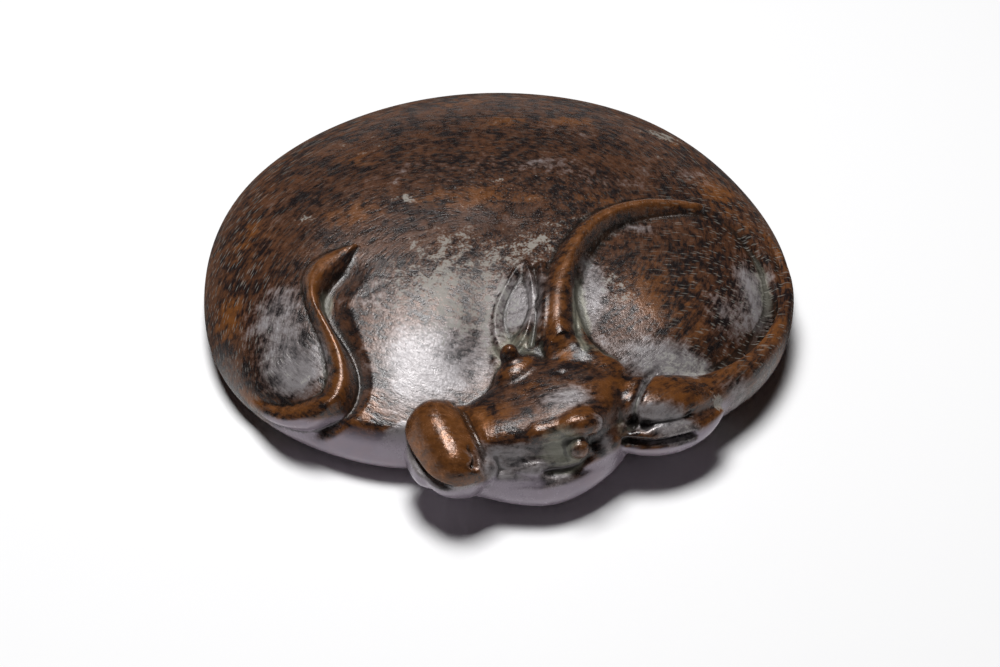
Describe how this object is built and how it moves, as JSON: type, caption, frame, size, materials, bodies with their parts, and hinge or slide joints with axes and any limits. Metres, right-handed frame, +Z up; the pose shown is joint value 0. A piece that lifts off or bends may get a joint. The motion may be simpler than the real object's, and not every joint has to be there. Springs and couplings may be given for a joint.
{
  "type": "bronze animal paperweight",
  "caption": "Round bronze paperweight cast as a curled-up water buffalo, its head laid along the rim and its horns circling its shoulder; flat underside.",
  "frame": {"origin": "centre of the flat base, on the table", "axes": "+Z up from the base; -Y towards the front, where the head lies with its muzzle towards -X and its horns towards +X"},
  "size_m": [0.0938, 0.0968, 0.021],
  "materials": {
    "bronze": "dark brown patinated cast bronze, waxed, worn to red-brown on the high places, grey-green in the hollows"
  },
  "bodies": {
    "root": {"buffalo": "bronze"}
  },
  "joints": []
}
